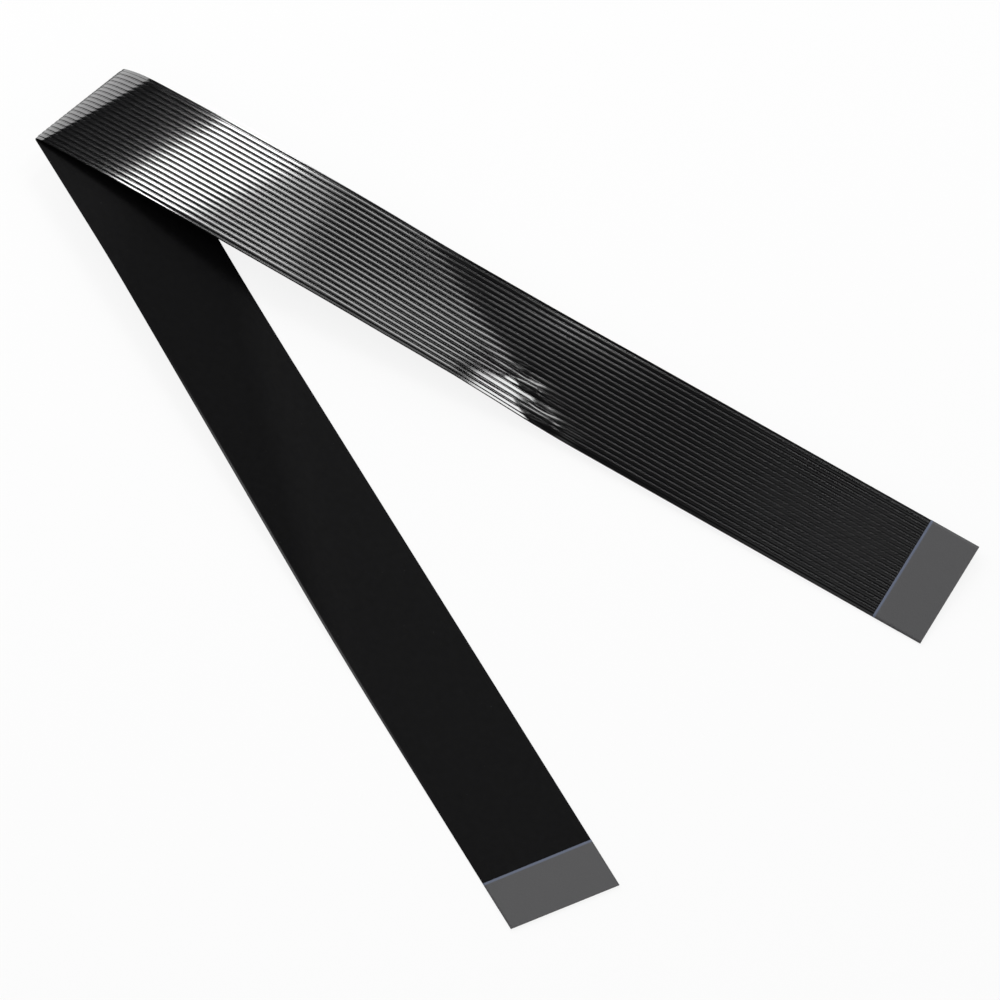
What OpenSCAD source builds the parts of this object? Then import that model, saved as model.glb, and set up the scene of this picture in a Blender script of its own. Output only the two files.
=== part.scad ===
// Flat ribbon cable: flat conductors side by side between two films, with a stiffener
// at each end. The cable is turned over once in a soft fold and lies as a narrow V.
//
// The cable is worked out flat first. s runs along it from the lower end, t runs across
// it, and n goes through its thickness, with n = 0 in the middle of the conductors.
// Each bend is a straight line across the flat cable, about which all that lies beyond
// it turns. So nothing stretches, and every layer keeps its true length and width.

/* [Conductors] */
// Number of conductors side by side
conductor_count = 20; // [8:1:26]
// Distance from the middle of one conductor to the next
pitch = 1; // [0.9:0.05:1.25]
// Width of one conductor
conductor_w = 0.7; // [0.5:0.02:0.72]
// Thickness of one conductor
conductor_t = 0.1; // [0.05:0.01:0.12]
// Distance from the middle of the outermost conductor to the cable's edge
edge_margin = 1; // [0.8:0.05:1.5]

/* [Films] */
// Thickness of the film that is formed over the conductors
ribbed_film_t = 0.1; // [0.06:0.01:0.12]
// Thickness of the plain film on the other side
smooth_film_t = 0.1; // [0.06:0.01:0.12]
// How far the top of a rib stays inside its conductor's edge
rib_shoulder = 0.06; // [0.02:0.01:0.1]
// How far the foot of a rib reaches past its conductor's edge
rib_foot = 0.08; // [0.06:0.01:0.08]

/* [Ends] */
// Length of the stiffener at each end
stiffener_l = 10; // [6:0.5:14]
// Thickness of each stiffener
stiffener_t = 0.12; // [0.1:0.02:0.3]
// Length of bare conductor on the far side of each stiffener
contact_l = 4.5; // [3:0.5:5.5]

/* [Lengths] */
// Length of the cable from cut end to cut end
cable_l = 361; // [340:1:375]
// Distance from the lower end to the tip of the fold
fold_at = 173; // [165:0.5:182]

/* [Fold] */
// How far the tight part of the fold turns the cable over, in degrees
fold_turn = 148; // [145:0.5:150]
// How far the soft crown beyond the tight part turns it further, in degrees
crown_turn = 30; // [28:0.5:32]
// Angle of the middle of the tight part to a line straight across, in degrees
fold_slant = 13.5; // [12:0.5:16]
// Angle between the first and the last bend of the tight part, in degrees
fold_fan = 6; // [5:0.2:8]
// Angle between the first and the last bend of the crown, in degrees
crown_fan = 14; // [11:0.5:16]
// Distance past the cable's edge at which all these bends would meet
fold_tip = 6; // [5:0.5:8]
// Number of bends in the tight part
fold_steps = 10; // [8:1:14]
// Number of bends in the crown
crown_steps = 4; // [3:1:6]

/* [Hidden] */
conductor_names = [
    for (i = [1 : conductor_count])
        str("conductor_", i < 10 ? "0" : "", i)
];

// Width of the cable, and the two outer faces of the films
cable_w = (conductor_count - 1) * pitch + 2 * edge_margin;
edge = cable_w / 2;
core = conductor_t / 2;
crest = core + ribbed_film_t;
valley = ribbed_film_t - core;
smooth_face = core + smooth_film_t;

// Direction in which the lower half lies, from its cut end to the fold
lower_heading = 120;

// The soft bends, by hand, in shares of the length of the half that they lie in: place
// of their middle, length over which they are spread, and how far each bend line runs
// along the cable from its middle to its edge. Then their turn in all, above zero
// towards the smooth face, and their number.
lift = [0.55, 0.175, 0.2, 17, 3];
ease = [0.925, 0.09, 0.072, -6.25, 2];
arch = [0.325, 0.125, 0, 4, 2];
kink = [0.495, 0.065, -0.09, -9, 3];

// Middles of equal shares of the stretch from -0.5 to 0.5
function shares(count) = [for (i = [0 : count - 1]) (i + 0.5) / count - 0.5];

// Each single bend: where it crosses the middle of the cable, its slant and its turn
function soft_bends(b, start, length) = [
    for (u = shares(b[4]))
        [start + (b[0] + u * b[1]) * length, atan2(b[2] * length, edge), b[3] / b[4]]
];
function fan_bends(mid_slant, fan, turn, count) = [
    for (u = shares(count))
        let (slant = mid_slant + u * fan)
        [fold_at + (edge + fold_tip) * tan(slant), slant, turn / count]
];
upper_l = cable_l - fold_at;
bends = concat(
    soft_bends(lift, 0, fold_at),
    soft_bends(ease, 0, fold_at),
    fan_bends(fold_slant, fold_fan, fold_turn, fold_steps),
    fan_bends(fold_slant + (fold_fan + crown_fan) / 2, crown_fan, crown_turn, crown_steps),
    soft_bends(arch, fold_at, upper_l),
    soft_bends(kink, fold_at, upper_l)
);

// Moves, as matrices: along by s, about the thickness, and about the line across
function slide(s) = [[1, 0, 0, s], [0, 1, 0, 0], [0, 0, 1, 0], [0, 0, 0, 1]];
function swing(a) = [
    [cos(a), -sin(a), 0, 0],
    [sin(a), cos(a), 0, 0],
    [0, 0, 1, 0],
    [0, 0, 0, 1]
];
function tip_up(a) = [
    [cos(a), 0, -sin(a), 0],
    [0, 1, 0, 0],
    [sin(a), 0, cos(a), 0],
    [0, 0, 0, 1]
];
function turned(bend, angle) =
    slide(bend[0]) * swing(bend[1]) * tip_up(angle) * swing(-bend[1]) * slide(-bend[0]);

// Where each flat stretch of the cable lies, from stretch i on: stretch i ends at bend i
function stretches(i, m) =
    i == len(bends) ? [m] : concat([m], stretches(i + 1, m * turned(bends[i], bends[i][2])));
carried = stretches(0, swing(lower_heading));
function moved(m, p) = let (q = m * [p[0], p[1], p[2], 1]) [q[0], q[1], q[2]];

// A point [t, n] of the section on the mitre of bend i, and on a square cut at s
function on_bend(i, p) =
    let (b = bends[i], s = b[0] - p[0] * tan(b[1]))
    moved(carried[i] * turned(b, b[2] / 2), [s, p[0], p[1] / cos(b[2] / 2)]);
function stretch_at(s, t) = len([for (b = bends) if (b[0] - t * tan(b[1]) < s) 1]);
function on_cut(s, p) = moved(carried[stretch_at(s, p[0])], [s, p[0], p[1]]);

// Rings of a section carried along the cable from one cut to the other
function rings(section, from, to) = concat(
    [[for (p = section) on_cut(from, p)]],
    [
        for (i = [0 : len(bends) - 1])
            if (bends[i][0] > from && bends[i][0] < to)
                [for (p = section) on_bend(i, p)]
    ],
    [[for (p = section) on_cut(to, p)]]
);

// The two triangles of one side between two rings. Sides that lie on each other in
// two pieces are cut along the same diagonal, so that their faces match.
function before(p, q) = p[0] + 3 * p[1] < q[0] + 3 * q[1];
function side(a, b, c, d, rising) = rising ? [[a, c, b], [a, d, c]] : [[a, d, b], [b, d, c]];

// The two triangles of a cap between neighbouring points of both chains, cut along the
// diagonal that stays inside the section
function bulges(a, b, c) = cross(b - a, c - a) > 0;
function cap(p, a, b, c, d) =
    bulges(p[a], p[b], p[c]) && bulges(p[a], p[c], p[d]) ? [[a, b, c], [a, c, d]] : [[a, b, d], [b, c, d]];

// A bent bar: its section is made of two chains of points, low and high, that have the
// same number of points and run the same way across the cable
module bent_bar(low, high, from, to) {
    count = len(low);
    section = concat(low, [for (i = [count - 1 : -1 : 0]) high[i]]);
    around = len(section);
    stations = rings(section, from, to);
    last = (len(stations) - 1) * around;
    sides = [
        for (k = [0 : len(stations) - 2], j = [0 : around - 1])
            let (
                next = (j + 1) % around,
                a = k * around + j,
                b = k * around + next,
                rising = before(section[j], section[next])
            )
            each side(a, b, b + around, a + around, rising)
    ];
    caps = [
        for (j = [0 : count - 2])
            each cap(section, j, j + 1, around - 2 - j, around - 1 - j)
    ];
    far_caps = [for (f = caps) [last + f[2], last + f[1], last + f[0]]];
    translate([-middle[0], -middle[1], -middle[2]])
        polyhedron(points = [for (r = stations) each r], faces = concat(sides, caps, far_caps), convexity = 8);
}

// Middles of the conductors, across the cable
lanes = [for (i = [0 : conductor_count - 1]) (i + 0.5) * pitch - conductor_count * pitch / 2];

// Chains of points across the cable: a flat one, the film's inner face, which wraps the
// conductors, and its outer face, with a rib over each
function flat_chain(n) = [[-edge, n], [edge, n]];
function wrapped_chain() = concat(
    [[-edge, core]],
    [
        for (t = lanes)
            let (w = conductor_w / 2)
            each [[t - w, core], [t - w, -core], [t + w, -core], [t + w, core]]
    ],
    [[edge, core]]
);
function ribbed_chain() = concat(
    [[-edge, -valley]],
    [
        for (t = lanes)
            let (foot = conductor_w / 2 + rib_foot, top = conductor_w / 2 - rib_shoulder)
            each [[t - foot, -valley], [t - top, -crest], [t + top, -crest], [t + foot, -valley]]
    ],
    [[edge, -valley]]
);

// Middle of the part's box and its lowest point, from the outer faces of its pieces
outer_points = [
    for (r = concat(
        rings(ribbed_chain(), contact_l, cable_l),
        rings(flat_chain(smooth_face), 0, cable_l - contact_l),
        rings(flat_chain(-crest - stiffener_t), cable_l - stiffener_l, cable_l),
        rings(flat_chain(smooth_face + stiffener_t), 0, stiffener_l)
    ))
        each r
];
function along_axis(axis) = [for (p = outer_points) p[axis]];
middle = [
    (min(along_axis(0)) + max(along_axis(0))) / 2,
    (min(along_axis(1)) + max(along_axis(1))) / 2,
    min(along_axis(2))
];

// Film formed over the conductors, cut back at the lower end to bare the contacts
module ribbed_film() {
    color([0.06, 0.06, 0.065])
        bent_bar(ribbed_chain(), wrapped_chain(), contact_l, cable_l);
}

// Plain film on the other side, cut back at the upper end
module smooth_film() {
    color([0.10, 0.10, 0.105])
        bent_bar(flat_chain(core), flat_chain(smooth_face), 0, cable_l - contact_l);
}

// Stiffener on the ribs of the upper end, which backs the contacts under it
module upper_stiffener() {
    color([0.32, 0.32, 0.33])
        bent_bar(flat_chain(-crest - stiffener_t), flat_chain(-crest), cable_l - stiffener_l, cable_l);
}

// Stiffener on the smooth film of the lower end
module lower_stiffener() {
    color([0.32, 0.32, 0.33])
        bent_bar(flat_chain(smooth_face), flat_chain(smooth_face + stiffener_t), 0, stiffener_l);
}

// One flat tinned conductor, from end to end
module conductor(t) {
    w = conductor_w / 2;
    color([0.78, 0.78, 0.76])
        bent_bar([[t - w, -core], [t + w, -core]], [[t - w, core], [t + w, core]], 0, cable_l);
}

ribbed_film();
smooth_film();
upper_stiffener();
lower_stiffener();
for (i = [0 : conductor_count - 1])
    conductor(lanes[i]);
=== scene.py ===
import bpy
import numpy as np
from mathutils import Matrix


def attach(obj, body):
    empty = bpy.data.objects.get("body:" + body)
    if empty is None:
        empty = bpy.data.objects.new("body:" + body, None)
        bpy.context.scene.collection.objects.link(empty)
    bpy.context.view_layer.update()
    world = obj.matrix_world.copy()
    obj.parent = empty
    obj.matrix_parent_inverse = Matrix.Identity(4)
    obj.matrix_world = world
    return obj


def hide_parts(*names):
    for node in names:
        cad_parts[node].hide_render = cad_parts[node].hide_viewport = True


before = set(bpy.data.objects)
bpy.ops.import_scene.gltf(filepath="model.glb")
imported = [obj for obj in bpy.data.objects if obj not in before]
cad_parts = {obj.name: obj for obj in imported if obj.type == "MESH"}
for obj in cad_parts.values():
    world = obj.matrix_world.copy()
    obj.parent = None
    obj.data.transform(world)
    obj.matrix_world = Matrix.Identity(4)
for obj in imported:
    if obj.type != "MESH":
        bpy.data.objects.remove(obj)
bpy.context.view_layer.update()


# The view. Seen from high up in front, from far off, so that the two halves keep
# nearly their true angle to each other.
view_target = np.array([-0.00114, 0.00060, 0.0])
view_elevation = np.radians(68.54)
view_azimuth = np.radians(0.26)
view_distance = 3.0
level = np.array([-np.sin(view_azimuth), -np.cos(view_azimuth), 0.0]) * np.cos(view_elevation)
view_direction = level + np.array([0.0, 0.0, np.sin(view_elevation)])

camera = bpy.data.objects.new("camera", bpy.data.cameras.new("camera"))
camera.location = view_target + view_distance * view_direction
camera.rotation_euler = (np.pi / 2 - view_elevation, 0.0, -view_azimuth)
camera.data.lens = 598.3
camera.data.sensor_width = 36.0
camera.data.clip_end = 20.0
bpy.context.scene.collection.objects.link(camera)
bpy.context.scene.camera = camera


# Ribbed film. Black polyester film, glossy, hot-rolled over the row of conductors, so
# that each conductor stands out as a rib. It is cut back at the lower end to bare the
# contacts. The whole cable is bent here: the other pieces follow the same bends.
mm = 0.001
conductor_count = 20
pitch = 1.0 * mm
conductor_t = 0.1 * mm
cable_w = 21.0 * mm
edge = cable_w / 2
film_t = 0.1 * mm
core = conductor_t / 2
valley = film_t - core
contact_l = 4.5 * mm
cable_l = 361.0 * mm
fold_at = 173.0 * mm
upper_l = cable_l - fold_at
fold_tip = 6.0 * mm
lower_heading = np.radians(120)


def soft_bends(start, length, place, spread, reach, turn, count):
    """A soft bend as equal small ones, spread evenly along one half of the cable: rows
    of place on the middle line, slant to a line straight across, and turn. Place, spread
    and reach, which is how far a bend line runs along from the middle to the edge, are
    shares of the half's length."""
    share = (np.arange(count) + 0.5) / count - 0.5
    places = start + (place + share * spread) * length
    slants = np.full(count, np.arctan2(reach * length, edge))
    return np.stack([places, slants, np.full(count, np.radians(turn) / count)], 1)


def fan_bends(slant, fan, turn, count):
    """Bends whose lines all pass one point a little past the cable's edge, so that
    place = fold + (edge + tip) * tangent of the slant, with the slant running evenly."""
    share = (np.arange(count) + 0.5) / count - 0.5
    slants = np.radians(slant + share * fan)
    places = fold_at + (edge + fold_tip) * np.tan(slants)
    return np.stack([places, slants, np.full(count, np.radians(turn) / count)], 1)


# From the lower end on: the lower half lifts off the table and eases again, then come
# the tight part and the soft crown of the fold, the upper half's arch, and its kink
bends = np.concatenate([
    soft_bends(0.0, fold_at, place=0.55, spread=0.175, reach=0.2, turn=17, count=12),
    soft_bends(0.0, fold_at, place=0.925, spread=0.09, reach=0.072, turn=-6.25, count=8),
    fan_bends(slant=13.5, fan=6, turn=148, count=40),
    fan_bends(slant=23.5, fan=14, turn=30, count=16),
    soft_bends(fold_at, upper_l, place=0.325, spread=0.11, reach=0.0, turn=4, count=8),
    soft_bends(fold_at, upper_l, place=0.495, spread=0.065, reach=-0.09, turn=-9, count=12),
])


def swing(angle):
    """The move that turns the flat cable about its thickness."""
    c, s = np.cos(angle), np.sin(angle)
    return np.array([[c, -s, 0, 0], [s, c, 0, 0], [0, 0, 1, 0], [0, 0, 0, 1]])


def turned(bend, angle):
    """The move that turns what lies beyond a bend line: slide the line to the origin,
    swing it square, tip up about it by the angle, swing and slide back."""
    place, slant, _ = bend
    c, s = np.cos(angle), np.sin(angle)
    tip_up = np.array([[c, 0, -s, 0], [0, 1, 0, 0], [s, 0, c, 0], [0, 0, 0, 1]])
    slide = np.eye(4)
    slide[0, 3] = place
    back = np.eye(4)
    back[0, 3] = -place
    return slide @ swing(slant) @ tip_up @ swing(slant).T @ back


# The place of each flat stretch between two bends, that of each bend's mitre, and the
# middle of the whole cable's box, which stands on the table
carried = [swing(lower_heading)]
for bend in bends:
    carried.append(carried[-1] @ turned(bend, bend[2]))
halfway = [carried[i] @ turned(bend, bend[2] / 2) for i, bend in enumerate(bends)]
centre = np.array([-10.162, 77.752, -0.15]) * mm


def hill(s, t, at_s, at_t, half_l, half_w):
    """A smooth hill of height 1 on the flat cable: exp(-(x squared + y squared)), where x
    and y are the distances from its middle in half lengths and half widths."""
    return np.exp(-(((s - at_s) / half_l) ** 2 + ((t - at_t) / half_w) ** 2))


def dents(along, across):
    """How far the cable stands off its plain shape, towards its smooth face. Past the
    fold the sheet rises a little more, by 1 - (1 - x) ** 1.5 over the slanted distance x,
    and from a faint crease on it sinks back by (1 - x) squared. Then come long shallow
    waves left by the roll, a swell along the near edge before the kink, a droop of the
    far edge after it and a few small dents."""
    s, t = along / mm, across / mm
    rise = 1 - (1 - np.clip((s + 0.55 * t - 182.0) / 16.5, 0, 1)) ** 1.5
    crease = np.clip((s + 0.78 * t - 190.0) / 23.0, 0, 1)
    sink = (1 - np.clip((s + 0.78 * t - 213.0) / 65.0, 0, 1)) ** 2
    waves = 0.005 * (1 + np.sin(s / 4.1 + 0.15 * t) * np.sin(s / 17.0 + 1.0))
    swell = 0.95 * hill(s, t, 264.0, 11.0, 13.5, 8.0)
    swell += 0.3 * hill(s, t, 246.0, 12.0, 14.0, 6.5)
    droop = 0.4 * hill(s, t, 273.0, -12.0, 13.0, 5.0)
    # Place along and across, depth towards the smooth face, and half width
    small = np.array([
        [266.5, 8.4, 0.14, 0.9],
        [271.0, 5.2, -0.16, 1.2],
        [274.0, 2.6, 0.14, 1.0],
        [276.5, 4.6, -0.22, 1.1],
        [279.0, 6.4, 0.12, 1.1],
        [281.5, 8.6, -0.26, 1.6],
        [273.0, 8.8, 0.10, 1.0],
    ])
    at_s, at_t, deep, half_w = small.T[:, :, None, None]
    pits = (deep * hill(s, t, at_s, at_t, 2.2 * half_w, half_w)).sum(0)
    return (waves - (0.62 * rise + 0.1 * crease) * sink - swell + droop + pits) * mm


def skewed(along, across):
    """Lengths along the cable with the lower end cut a little out of square: they shift
    by the place across times a slope that dies out by 1 - x squared."""
    slope = 0.122 * (1 - np.clip(along / (60.0 * mm), 0, 1) ** 2)
    return along + slope * across


# Rings stand close where the cable was kinked
kinked = np.arange(268, 285, 1.2) * mm


def bent(start, end, across, face, step):
    """Points of a section of the flat cable, laid along its bends. Rings stand on every
    bend line and at even steps between them, closer where the cable was kinked. Ring by
    ring the point (along, across, face height) is moved by the matrix of its stretch, or
    of half its bend."""
    lines = [(start, 0.0, None)]
    lines += [(b[0], b[1], i) for i, b in enumerate(bends) if start < b[0] < end]
    lines += [(end, 0.0, None)]
    stretch = int((bends[:, 0] < start).sum())
    rows, moves = [], []
    for (s0, a0, i0), (s1, a1, _) in zip(lines, lines[1:]):
        line0 = s0 - across * np.tan(a0)
        line1 = s1 - across * np.tan(a1)
        rows.append(line0)
        moves.append(carried[stretch] if i0 is None else halfway[i0])
        if i0 is not None:
            stretch = i0 + 1
        marks = np.arange(s0 + step / 2, s1 - step / 2, step)
        if s0 < kinked[0] and kinked[-1] < s1:
            clear = (marks < kinked[0] - step / 3) | (marks > kinked[-1] + step / 3)
            marks = np.sort(np.concatenate([marks[clear], kinked]))
        for u in (marks - s0) / (s1 - s0):
            rows.append((1 - u) * line0 + u * line1)
            moves.append(carried[stretch])
    rows.append(np.full_like(across, end))
    moves.append(carried[stretch])
    along = np.array(rows)
    wide = np.broadcast_to(across, along.shape)
    height = face + dents(along, wide)
    flat = np.stack([skewed(along, wide), wide, height, np.ones_like(along)], 2)
    return np.einsum("rij,rpj->rpi", np.array(moves), flat)[:, :, :3] - centre, along


def layer(name, start, end, loop, face, step=4 * mm):
    """A layer of the cable as a closed bent bar. Its section is a loop of points, given
    by their places across the cable and their heights, anticlockwise as seen from the
    lower end. The rings are joined by quads, and each cut is closed by one face. Its map
    holds the lengths along and across the cable."""
    points, along = bent(start, end, loop, face, step)
    rings, around = points.shape[:2]
    k, j = np.meshgrid(np.arange(rings - 1), np.arange(around), indexing="ij")
    nxt = (j + 1) % around
    here, beyond = k * around, (k + 1) * around
    sides = np.stack([here + j, beyond + j, beyond + nxt, here + nxt], 2).reshape(-1, 4)
    first = np.arange(around)
    last = first[::-1] + (rings - 1) * around
    faces = sides.tolist() + [first.tolist(), last.tolist()]
    mesh = bpy.data.meshes.new(name)
    mesh.from_pydata(points.reshape(-1, 3).tolist(), [], faces)
    flat_map = np.stack([along, np.broadcast_to(loop, along.shape)], 2).reshape(-1, 2)
    uv = mesh.uv_layers.new(name="flat")
    loops = np.empty(len(mesh.loops), dtype=np.int32)
    mesh.loops.foreach_get("vertex_index", loops)
    uv.data.foreach_set("uv", (flat_map[loops] / mm).ravel())
    mesh.polygons.foreach_set("use_smooth", np.ones(len(faces), dtype=bool))
    ends = np.empty(2 * len(mesh.edges), dtype=np.int32)
    mesh.edges.foreach_get("vertices", ends)
    ring = ends.reshape(-1, 2) // around
    on_cut = (ring[:, 0] == ring[:, 1]) & np.isin(ring[:, 0], (0, rings - 1))
    mesh.edges.foreach_set("use_edge_sharp", on_cut)
    piece = bpy.data.objects.new(name, mesh)
    bpy.context.scene.collection.objects.link(piece)
    return piece


def film_material(name, dark, light, rough, rough_spread, specular, grain):
    """Black film: its grey wanders slowly over a few millimetres, its gloss a little
    faster, and a fine grain drawn out along the cable lifts the surface a hair."""
    material = bpy.data.materials.new(name)
    material.use_nodes = True
    nodes, links = material.node_tree.nodes, material.node_tree.links
    shader = nodes["Principled BSDF"]
    flat = nodes.new("ShaderNodeUVMap")
    flat.uv_map = "flat"
    drawn = nodes.new("ShaderNodeMapping")
    drawn.inputs["Scale"].default_value = (0.35, 2.0, 1.0)
    links.new(flat.outputs["UV"], drawn.inputs["Vector"])
    cloud = nodes.new("ShaderNodeTexNoise")
    cloud.inputs["Scale"].default_value = 0.8
    cloud.inputs["Detail"].default_value = 4.0
    links.new(flat.outputs["UV"], cloud.inputs["Vector"])
    shade = nodes.new("ShaderNodeMix")
    shade.data_type = "RGBA"
    shade.inputs["A"].default_value = (*dark, 1)
    shade.inputs["B"].default_value = (*light, 1)
    links.new(cloud.outputs["Fac"], shade.inputs["Factor"])
    links.new(shade.outputs["Result"], shader.inputs["Base Color"])
    streaks = nodes.new("ShaderNodeTexNoise")
    streaks.inputs["Scale"].default_value = 1.2
    streaks.inputs["Detail"].default_value = 5.0
    links.new(drawn.outputs["Vector"], streaks.inputs["Vector"])
    gloss = nodes.new("ShaderNodeMapRange")
    gloss.inputs["From Min"].default_value = 0.3
    gloss.inputs["From Max"].default_value = 0.7
    gloss.inputs["To Min"].default_value = rough - rough_spread
    gloss.inputs["To Max"].default_value = rough + rough_spread
    links.new(streaks.outputs["Fac"], gloss.inputs["Value"])
    links.new(gloss.outputs["Result"], shader.inputs["Roughness"])
    lift = nodes.new("ShaderNodeBump")
    lift.inputs["Strength"].default_value = grain
    lift.inputs["Distance"].default_value = 0.000002
    links.new(streaks.outputs["Fac"], lift.inputs["Height"])
    links.new(lift.outputs["Normal"], shader.inputs["Normal"])
    shader.inputs["Specular IOR Level"].default_value = specular
    return material


# Across the cable: each rib is flat on top, its sides fall to a narrow valley, and the
# inner face steps round the conductor. The film's far edge is raised by the slitting.
lanes = (np.arange(conductor_count) - (conductor_count - 1) / 2) * pitch
half_u = np.array([0.28, 0.297, 0.315, 0.35, 0.39, 0.43, 0.455, 0.475, 0.49])
half_n = np.array([0.15, 0.1475, 0.1405, 0.1165, 0.089, 0.0615, 0.054, 0.0508, 0.05]) * mm
rib_u = np.concatenate([-half_u[::-1], half_u]) * pitch
rib_n = np.concatenate([half_n[::-1], half_n])
wrap_u = np.array([-0.351, -0.349, 0.349, 0.351]) * pitch
wrap_n = np.array([core, -core, -core, core])
margin_t = np.array([0.0, 0.03, 0.2]) * mm
margin_n = np.array([valley - 0.02 * mm, valley, valley])
raised_n = np.array([valley + 0.04 * mm, valley + 0.045 * mm, valley + 0.028 * mm])
over_ribs = (lanes[:, None] + rib_u).ravel()
outer_t = np.concatenate([margin_t - edge, over_ribs, edge - margin_t[::-1]])
outer_n = -np.concatenate([raised_n, np.tile(rib_n, conductor_count), margin_n[::-1]])
inner_t = np.concatenate([[-edge], (lanes[:, None] + wrap_u).ravel(), [edge]])
inner_n = np.concatenate([[core], np.tile(wrap_n, conductor_count), [core]])
ribbed = layer(
    "ribbed_film_rolled",
    contact_l,
    cable_l,
    np.concatenate([outer_t, inner_t[::-1]]),
    np.concatenate([outer_n, inner_n[::-1]]),
)
ribbed_gloss = film_material(
    "ribbed_film_gloss",
    dark=(0.0012, 0.0012, 0.0013),
    light=(0.0026, 0.0026, 0.0028),
    rough=0.098,
    rough_spread=0.004,
    specular=0.5,
    grain=0.12,
)
ribbed.data.materials.append(ribbed_gloss)
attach(ribbed, "root")
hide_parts("ribbed_film")


# Conductors. Twenty flat strips of rolled copper, tinned bright, drawn side by side
# into the laminate. They show only as the contacts, where a film is cut back.
tin = bpy.data.materials.new("tinned_copper_rolled")
tin.use_nodes = True
tin_nodes, tin_links = tin.node_tree.nodes, tin.node_tree.links
tin_shader = tin_nodes["Principled BSDF"]
tin_shader.inputs["Metallic"].default_value = 1.0
tin_map = tin_nodes.new("ShaderNodeUVMap")
tin_map.uv_map = "flat"
tin_drawn = tin_nodes.new("ShaderNodeMapping")
tin_drawn.inputs["Scale"].default_value = (0.6, 12.0, 1.0)
tin_links.new(tin_map.outputs["UV"], tin_drawn.inputs["Vector"])
tin_streaks = tin_nodes.new("ShaderNodeTexNoise")
tin_streaks.inputs["Scale"].default_value = 1.5
tin_streaks.inputs["Detail"].default_value = 4.0
tin_links.new(tin_drawn.outputs["Vector"], tin_streaks.inputs["Vector"])
tin_shade = tin_nodes.new("ShaderNodeMix")
tin_shade.data_type = "RGBA"
tin_shade.inputs["A"].default_value = (0.62, 0.60, 0.56, 1)
tin_shade.inputs["B"].default_value = (0.80, 0.79, 0.77, 1)
tin_links.new(tin_streaks.outputs["Fac"], tin_shade.inputs["Factor"])
tin_links.new(tin_shade.outputs["Result"], tin_shader.inputs["Base Color"])
tin_gloss = tin_nodes.new("ShaderNodeMapRange")
tin_gloss.inputs["To Min"].default_value = 0.22
tin_gloss.inputs["To Max"].default_value = 0.42
tin_links.new(tin_streaks.outputs["Fac"], tin_gloss.inputs["Value"])
tin_links.new(tin_gloss.outputs["Result"], tin_shader.inputs["Roughness"])

conductor_w = 0.7 * mm
strip_t = np.array([-0.47, 0.47, 0.5, 0.5, 0.47, -0.47, -0.5, -0.5]) * conductor_w
strip_n = np.array([-1.0, -1.0, -0.8, 0.8, 1.0, 1.0, 0.8, -0.8]) * core
for i, lane in enumerate(lanes):
    strip = layer(f"tinned_conductor_{i + 1:02d}", 0.0, cable_l, lane + strip_t, strip_n, 8 * mm)
    strip.data.materials.append(tin)
    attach(strip, "root")
    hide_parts(f"conductor_{i + 1:02d}")


# Smooth film. Black polyester film laid plain over the other side of the conductors,
# less glossy than the ribbed one, and cut back at the upper end.
smooth_face = core + film_t
plain_t = np.linspace(-edge + 0.5 * mm, edge - 0.5 * mm, 39)
rounded_t = np.array([0.0, 0.03, 0.12]) * mm
rounded_n = np.array([-0.035, -0.012, 0.0]) * mm
smooth_t = np.concatenate([rounded_t - edge, plain_t, edge - rounded_t[::-1]])
smooth_n = smooth_face + np.concatenate([rounded_n, np.zeros_like(plain_t), rounded_n[::-1]])
smooth = layer(
    "smooth_film_laid",
    0.0,
    cable_l - contact_l,
    np.concatenate([smooth_t, smooth_t[::-1]]),
    np.concatenate([np.full_like(smooth_t, core), smooth_n[::-1]]),
)
smooth_satin = film_material(
    "smooth_film_satin",
    dark=(0.0013, 0.0013, 0.0014),
    light=(0.0029, 0.0029, 0.0031),
    rough=0.50,
    rough_spread=0.05,
    specular=0.025,
    grain=0.5,
)
smooth.data.materials.append(smooth_satin)

# Its slit edge is greyed for a stretch, a painted highlight where the edge catches the light, and
# a few specks of dust lie on it
satin = smooth_satin.node_tree
black = satin.nodes["Principled BSDF"].inputs["Base Color"].links[0].from_socket
flat = satin.nodes.new("ShaderNodeUVMap")
flat.uv_map = "flat"
where = satin.nodes.new("ShaderNodeSeparateXYZ")
satin.links.new(flat.outputs["UV"], where.inputs["Vector"])
painted_edge_highlight = []
# The mask of the painted highlight: a strip along the slit edge, from 25 to 130 mm along the
# cable
for axis, low, high in (("Y", 10.0, 10.3), ("X", 25.0, 60.0), ("X", 130.0, 100.0)):
    ramp = satin.nodes.new("ShaderNodeMapRange")
    ramp.interpolation_type = "SMOOTHSTEP"
    ramp.inputs["From Min"].default_value = low
    ramp.inputs["From Max"].default_value = high
    satin.links.new(where.outputs[axis], ramp.inputs["Value"])
    painted_edge_highlight.append(ramp.outputs["Result"])
grains = satin.nodes.new("ShaderNodeTexNoise")
grains.inputs["Scale"].default_value = 2.2
grains.inputs["Detail"].default_value = 1.0
satin.links.new(flat.outputs["UV"], grains.inputs["Vector"])
dust = satin.nodes.new("ShaderNodeMapRange")
dust.inputs["From Min"].default_value = 0.77
dust.inputs["From Max"].default_value = 0.82
satin.links.new(grains.outputs["Fac"], dust.inputs["Value"])
# The painted highlight greys the slit edge to 0.030; the dust specks are 0.016
for factor, grey in ((painted_edge_highlight, 0.030), ([dust.outputs["Result"]], 0.016)):
    product = factor[0]
    for other in factor[1:]:
        times = satin.nodes.new("ShaderNodeMath")
        times.operation = "MULTIPLY"
        satin.links.new(product, times.inputs[0])
        satin.links.new(other, times.inputs[1])
        product = times.outputs["Value"]
    blend = satin.nodes.new("ShaderNodeMix")
    blend.data_type = "RGBA"
    blend.inputs["B"].default_value = (grey, grey, grey, 1)
    satin.links.new(product, blend.inputs["Factor"])
    satin.links.new(black, blend.inputs["A"])
    black = blend.outputs["Result"]
satin.links.new(black, satin.nodes["Principled BSDF"].inputs["Base Color"])
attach(smooth, "root")
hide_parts("smooth_film")


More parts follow.
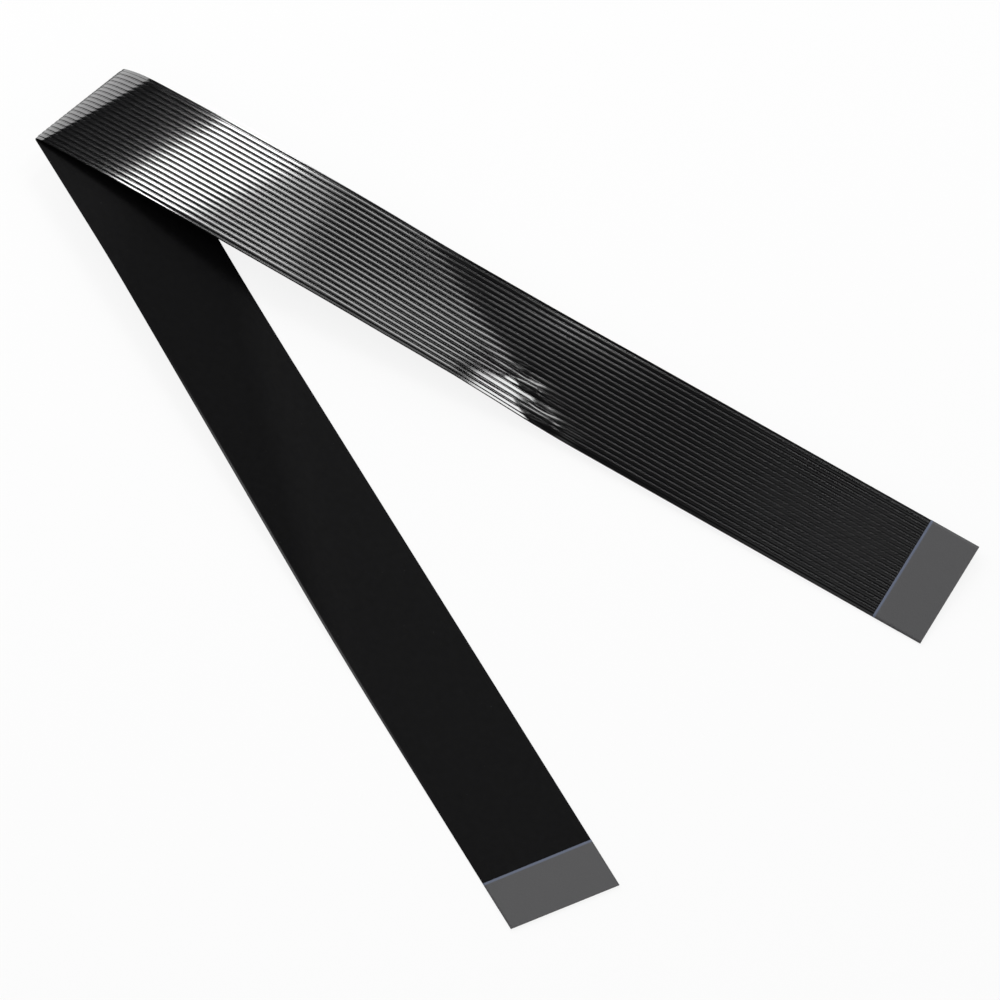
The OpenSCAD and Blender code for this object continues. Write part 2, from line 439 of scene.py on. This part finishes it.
# Stiffeners. Dark grey polyester tape, matt, bonded across both ends on the side away
# from the contacts. Its adhesive shows as a thin bluish line along the inner edge.
def stiffener_material(name, inner_edge, outer_edge):
    """Matt grey tape with a fine grain. The map's length along the cable gives the line
    of adhesive: where it is within half a millimetre of the inner edge."""
    material = bpy.data.materials.new(name)
    material.use_nodes = True
    nodes, links = material.node_tree.nodes, material.node_tree.links
    shader = nodes["Principled BSDF"]
    flat = nodes.new("ShaderNodeUVMap")
    flat.uv_map = "flat"
    grain = nodes.new("ShaderNodeTexNoise")
    grain.inputs["Scale"].default_value = 2.5
    grain.inputs["Detail"].default_value = 6.0
    links.new(flat.outputs["UV"], grain.inputs["Vector"])
    tape = nodes.new("ShaderNodeMix")
    tape.data_type = "RGBA"
    tape.inputs["A"].default_value = (0.022, 0.022, 0.023, 1)
    tape.inputs["B"].default_value = (0.031, 0.031, 0.0325, 1)
    links.new(grain.outputs["Fac"], tape.inputs["Factor"])
    where = nodes.new("ShaderNodeSeparateXYZ")
    links.new(flat.outputs["UV"], where.inputs["Vector"])
    line = nodes.new("ShaderNodeMapRange")
    line.interpolation_type = "SMOOTHSTEP"
    outwards = np.sign(outer_edge - inner_edge)
    line.inputs["From Min"].default_value = inner_edge / mm + 0.55 * outwards
    line.inputs["From Max"].default_value = inner_edge / mm + 0.35 * outwards
    links.new(where.outputs["X"], line.inputs["Value"])
    coloured = nodes.new("ShaderNodeMix")
    coloured.data_type = "RGBA"
    coloured.inputs["B"].default_value = (0.042, 0.052, 0.080, 1)
    links.new(line.outputs["Result"], coloured.inputs["Factor"])
    links.new(tape.outputs["Result"], coloured.inputs["A"])
    links.new(coloured.outputs["Result"], shader.inputs["Base Color"])
    gloss = nodes.new("ShaderNodeMapRange")
    gloss.inputs["To Min"].default_value = 0.48
    gloss.inputs["To Max"].default_value = 0.66
    links.new(grain.outputs["Fac"], gloss.inputs["Value"])
    links.new(gloss.outputs["Result"], shader.inputs["Roughness"])
    lift = nodes.new("ShaderNodeBump")
    lift.inputs["Strength"].default_value = 0.4
    lift.inputs["Distance"].default_value = 0.00003
    links.new(grain.outputs["Fac"], lift.inputs["Height"])
    links.new(lift.outputs["Normal"], shader.inputs["Normal"])
    shader.inputs["Specular IOR Level"].default_value = 0.3
    return material


stiffener_l = 10.0 * mm
stiffener_t = 0.12 * mm
crest = core + film_t
tape_plain_t = np.linspace(-edge + 0.5 * mm, edge - 0.5 * mm, 21)
tape_t = np.concatenate([[-edge, -edge + 0.03 * mm], tape_plain_t, [edge - 0.03 * mm, edge]])
tape_n = np.full_like(tape_t, stiffener_t)
tape_n[[0, -1]] -= 0.03 * mm
tape_loop = np.concatenate([tape_t, tape_t[::-1]])
tape_flat = np.zeros_like(tape_t)
lower_n = smooth_face + np.concatenate([tape_flat, tape_n[::-1]])
upper_n = -crest - np.concatenate([tape_n, tape_flat])
upper_inner = cable_l - stiffener_l
lower_tape = layer("lower_stiffener_tape", 0.0, stiffener_l, tape_loop, lower_n)
lower_tape.data.materials.append(stiffener_material("lower_stiffener_matt", stiffener_l, 0.0))
upper_tape = layer("upper_stiffener_tape", upper_inner, cable_l, tape_loop, upper_n)
upper_tape.data.materials.append(stiffener_material("upper_stiffener_matt", upper_inner, cable_l))
for tape, node in ((lower_tape, "lower_stiffener"), (upper_tape, "upper_stiffener")):
    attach(tape, "root")
    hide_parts(node)

# The cable's middle line, from the lower cut to the upper one
path, _ = bent(0.0, cable_l, np.zeros(1), np.zeros(1), 3 * mm)
path = path[:, 0]


# Floor and light. A plain white table under an even pale sky, a large soft lamp low
# behind, and a row of narrow ones overhead, which the glossy film mirrors.
floor_mesh = bpy.data.meshes.new("floor")
floor_mesh.from_pydata([(-6, -6, 0), (6, -6, 0), (6, 6, 0), (-6, 6, 0)], [], [(0, 1, 2, 3)])
floor = bpy.data.objects.new("floor", floor_mesh)
bpy.context.scene.collection.objects.link(floor)
floor_material = bpy.data.materials.new("floor_white")
floor_material.use_nodes = True
nodes, links = floor_material.node_tree.nodes, floor_material.node_tree.links
nodes.remove(nodes["Principled BSDF"])
paint = nodes.new("ShaderNodeBsdfDiffuse")
paint.inputs["Color"].default_value = (0.46, 0.46, 0.46, 1)
backlit = nodes.new("ShaderNodeEmission")
backlit.inputs["Strength"].default_value = 0.98
rays = nodes.new("ShaderNodeLightPath")
seen = nodes.new("ShaderNodeMath")
seen.operation = "MAXIMUM"
links.new(rays.outputs["Is Camera Ray"], seen.inputs[0])
links.new(rays.outputs["Is Glossy Ray"], seen.inputs[1])
share = nodes.new("ShaderNodeMath")
share.operation = "MULTIPLY"
share.inputs[1].default_value = 0.88
links.new(seen.outputs["Value"], share.inputs[0])
blend = nodes.new("ShaderNodeMixShader")
links.new(share.outputs["Value"], blend.inputs["Fac"])
links.new(paint.outputs["BSDF"], blend.inputs[1])
links.new(backlit.outputs["Emission"], blend.inputs[2])
links.new(blend.outputs["Shader"], nodes["Material Output"].inputs["Surface"])
floor_mesh.materials.append(floor_material)


upper_heading = np.radians(-31.1)


def softbox(name, along, across, size, radiance, height=1.0, lean=0):
    """A rectangular lamp. Along and across are its place over the table, measured along
    and across the upper half of the cable. It looks straight down and leans over by an
    angle. Its power for a given brightness is brightness times pi times its area."""
    c, s = np.cos(upper_heading), np.sin(upper_heading)
    lamp = bpy.data.lights.new(name, "AREA")
    lamp.shape = "RECTANGLE"
    lamp.size, lamp.size_y = size
    lamp.energy = radiance * np.pi * size[0] * size[1]
    obj = bpy.data.objects.new(name, lamp)
    obj.location = (along * c - across * s, along * s + across * c, height)
    obj.rotation_euler = (0, np.radians(lean), upper_heading)
    bpy.context.scene.collection.objects.link(obj)


# In the order in which the film mirrors them: the bright zone past the fold and its soft
# end, the middle, the swell, the drooped edge, the far side of the swell, and the end
# before the stiffener. The last one lights the fold's outer side from behind.
softbox("key_strip", -0.266, 0.66, (0.065, 0.46), 52.0)
softbox("key_shoulder", -0.200, 0.60, (0.07, 0.34), 11.0)
softbox("side_panel", -0.085, 0.47, (0.13, 0.10), 1.5)
softbox("swell_panel", -0.09, 0.62, (0.14, 0.18), 10.0)
softbox("droop_panel", -0.17, 0.38, (0.06, 0.12), 1.6)
softbox("edge_strip", 0.085, 0.50, (0.11, 0.40), 22.0)
softbox("end_panel", -0.055, 0.13, (0.09, 0.10), 0.8)
softbox("back_panel", -0.89, 0.60, (1.1, 1.5), 6.6, height=0.525, lean=-60)

world = bpy.data.worlds.new("studio")
bpy.context.scene.world = world
world.use_nodes = True
nodes, links = world.node_tree.nodes, world.node_tree.links
background = nodes["Background"]
background.inputs["Strength"].default_value = 1.0
rays = nodes.new("ShaderNodeLightPath")
sky = nodes.new("ShaderNodeTexCoord")
height = nodes.new("ShaderNodeSeparateXYZ")
links.new(sky.outputs["Generated"], height.inputs["Vector"])
horizon = nodes.new("ShaderNodeMapRange")
horizon.interpolation_type = "SMOOTHSTEP"
horizon.inputs["From Min"].default_value = 0.15
horizon.inputs["From Max"].default_value = 0.45
horizon.inputs["To Min"].default_value = 0.06
horizon.inputs["To Max"].default_value = 0.03
links.new(height.outputs["Z"], horizon.inputs["Value"])
glossy = nodes.new("ShaderNodeMix")
glossy.data_type = "FLOAT"
glossy.inputs["A"].default_value = 0.8
links.new(rays.outputs["Is Glossy Ray"], glossy.inputs["Factor"])
links.new(horizon.outputs["Result"], glossy.inputs["B"])
seen = nodes.new("ShaderNodeMix")
seen.data_type = "FLOAT"
seen.inputs["B"].default_value = 1.0
links.new(rays.outputs["Is Camera Ray"], seen.inputs["Factor"])
links.new(glossy.outputs["Result"], seen.inputs["A"])
links.new(seen.outputs["Result"], background.inputs["Color"])

bpy.context.scene.view_settings.view_transform = "Standard"
